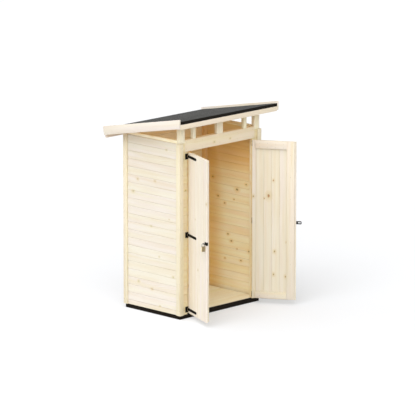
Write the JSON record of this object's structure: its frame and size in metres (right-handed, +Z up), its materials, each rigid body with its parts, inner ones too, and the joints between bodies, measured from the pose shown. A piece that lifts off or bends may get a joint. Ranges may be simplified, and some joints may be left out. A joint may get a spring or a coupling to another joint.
{
  "type": "tool shed",
  "caption": "Narrow timber tool shed with a single-pitch felt roof, an open row of studs under it, a pair of boarded doors on T-hinges, and a hasp with a padlock.",
  "frame": {"origin": "middle of the base's underside, on the ground", "axes": "+Z up, the doors face -Y, +X to the right of someone facing the doors"},
  "size_m": [1.5226, 1.467, 2.1892],
  "materials": {
    "spruce": "matte",
    "stained_spruce": "matte",
    "felt": "matte",
    "black_steel": "satin",
    "brass": "satin",
    "steel": "satin"
  },
  "bodies": {
    "shed": {"base_end_joists": "stained_spruce", "base_side_joists": "stained_spruce", "threshold": "stained_spruce", "floor": "spruce", "left_wall": "spruce", "right_wall": "spruce", "back_wall": "spruce", "front_panel_left": "spruce", "front_panel_right": "spruce", "front_posts": "spruce", "back_posts": "spruce", "lintel": "spruce", "front_plate": "spruce", "side_plates": "spruce", "back_plate": "spruce", "clerestory_studs": "spruce", "top_beam": "spruce", "rafters": "spruce", "roof_deck": "spruce", "roof_felt": "felt", "front_fascia": "spruce", "rear_fascia": "spruce", "left_bargeboard": "spruce", "right_bargeboard": "spruce", "corner_boards_front_left": "spruce", "corner_boards_front_right": "spruce", "corner_boards_back_left": "spruce", "corner_boards_back_right": "spruce", "hinge_plates_left": "black_steel", "hinge_plates_right": "black_steel"},
    "left_door": {"left_door_boards": "spruce", "left_door_ledges": "spruce", "left_door_straps": "black_steel", "staple": "black_steel"},
    "padlock": {"padlock_body": "brass", "padlock_shackle": "steel"},
    "right_door": {"right_door_boards": "spruce", "right_door_ledges": "spruce", "right_door_straps": "black_steel", "hasp_plate": "black_steel"},
    "hasp_flap": {"hasp_flap": "black_steel"}
  },
  "joints": [
    {"name": "left_door_hinge", "type": "hinge", "parent": "shed", "child": "left_door", "pos_m": [-0.487, -0.4155, 0.903], "axis": [0, 0, 1], "range_deg": [-58, 112]},
    {"name": "right_door_hinge", "type": "hinge", "parent": "shed", "child": "right_door", "pos_m": [0.487, -0.4155, 0.903], "axis": [0, 0, 1], "range_deg": [-122, 48]},
    {"name": "hasp_flap_hinge", "type": "hinge", "parent": "right_door", "child": "hasp_flap", "pos_m": [0.73256, -0.81037, 0.903], "axis": [0, 0, 1], "range_deg": [0, 150]},
    {"name": "padlock_swing", "type": "hinge", "parent": "left_door", "child": "padlock", "pos_m": [-0.67943, -0.83172, 0.903], "axis": [-0.3746, -0.9272, 0], "range_deg": [-60, 0]}
  ]
}
